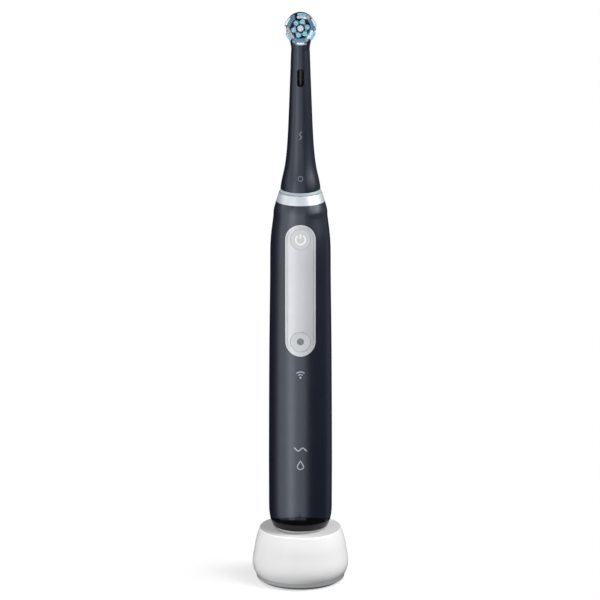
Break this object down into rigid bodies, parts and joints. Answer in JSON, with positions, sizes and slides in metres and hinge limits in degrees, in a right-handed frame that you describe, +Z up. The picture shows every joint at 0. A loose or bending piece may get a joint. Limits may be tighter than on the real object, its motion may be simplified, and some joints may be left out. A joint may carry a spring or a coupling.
{
  "type": "electric toothbrush on charger",
  "caption": "Rechargeable electric toothbrush with a round turning brush head, standing on a round inductive charger with a post.",
  "frame": {"origin": "on the floor, under the middle of the charger's base", "axes": "+Z up along the handle, front with buttons and bristles towards -Y, +X to the right"},
  "size_m": [0.0442, 0.044, 0.2616],
  "materials": {
    "white_shell": "gloss white",
    "top_grey": "satin light grey",
    "grey_base": "satin grey",
    "rubber_foot": "matte rubber",
    "matte_black": "soft matte black",
    "gloss_black": "high gloss black",
    "ring_white": "translucent white",
    "ring_grey": "satin grey",
    "panel_grey": "pearl grey",
    "button_grey": "satin pearl grey",
    "inner_plastic": "natural moulded plastic",
    "rod_plastic": "dark grey plastic",
    "carrier_black": "black plastic",
    "bristle_blue": "nylon filaments, blue",
    "bristle_white": "nylon filaments, white",
    "copper_wire": "enamelled copper",
    "steel": "bright steel",
    "ferrite": "dark sintered",
    "bearing_bronze": "sintered bronze",
    "board_green": "solder resist",
    "chip_black": "component black",
    "led_lens": "clear lens",
    "battery_wrap": "shrink wrap"
  },
  "bodies": {
    "charger": {"charger_housing": "white_shell", "charger_top": "top_grey", "coil_bobbin": "inner_plastic", "primary_coil": "copper_wire", "ferrite_core": "ferrite", "charger_circuit_board": "board_green", "charger_components": "chip_black", "base_plate": "grey_base", "foot_ring": "rubber_foot", "cord_gland": "rubber_foot"},
    "handle": {"handle_sleeve": "matte_black", "base_cap": "gloss_black", "base_seal": "rubber_foot", "receiver_coil": "copper_wire", "chassis": "inner_plastic", "battery": "battery_wrap", "battery_tabs": "steel", "circuit_board": "board_green", "board_chips": "chip_black", "tact_switches": "chip_black", "led_board": "board_green", "ring_leds": "led_lens", "light_ring": "ring_white", "nose_cap": "gloss_black", "shaft_seal": "rubber_foot", "shaft_bush": "bearing_bronze", "motor_frame": "steel", "stator_coil": "copper_wire", "lower_spring": "steel", "upper_spring": "steel", "control_panel": "panel_grey", "panel_bezel": "panel_grey", "panel_gasket": "rubber_foot"},
    "drive_shaft": {"drive_shaft": "steel", "armature": "ferrite"},
    "power_button": {"power_button": "button_grey"},
    "mode_button": {"mode_button": "button_grey"},
    "brush_neck": {"neck_shell": "matte_black", "neck_insert": "inner_plastic", "neck_base_ring": "ring_grey", "head_pin": "steel"},
    "drive_rod": {"drive_rod": "rod_plastic", "rod_coupler": "steel"},
    "bristle_head": {"tuft_carrier": "carrier_black", "outer_tufts": "bristle_blue", "inner_tufts": "bristle_blue", "centre_tuft": "bristle_white"}
  },
  "joints": [
    {"name": "handle_lift", "type": "slide", "parent": "charger", "child": "handle", "axis": [0, 0, 1], "range_m": [0, 0.03]},
    {"name": "neck_pull_off", "type": "slide", "parent": "handle", "child": "brush_neck", "axis": [0, 0, 1], "range_m": [0, 0.04]},
    {"name": "shaft_stroke", "type": "slide", "parent": "handle", "child": "drive_shaft", "axis": [0, 0, 1], "range_m": [-0.0009, 0.0009], "stiffness_N_per_m": 3000, "deforming": ["lower_spring", "upper_spring"]},
    {"name": "rod_stroke", "type": "slide", "parent": "brush_neck", "child": "drive_rod", "axis": [0, 0, 1], "range_m": [-0.00095, 0.00095]},
    {"name": "head_turn", "type": "hinge", "parent": "brush_neck", "child": "bristle_head", "pos_m": [0, 0, 0.2545], "axis": [0, -1, 0], "range_deg": [-17.6, 17.6]},
    {"name": "power_press", "type": "slide", "parent": "handle", "child": "power_button", "axis": [0, 1, 0], "range_m": [0, 0.0005], "stiffness_N_per_m": 2500},
    {"name": "mode_press", "type": "slide", "parent": "handle", "child": "mode_button", "axis": [0, 1, 0], "range_m": [0, 0.0005], "stiffness_N_per_m": 2500}
  ],
  "couplings": [
    {"joint": "rod_stroke", "follows": "shaft_stroke", "ratio": 1},
    {"joint": "head_turn", "follows": "shaft_stroke", "rad_per_m": 333.33}
  ]
}
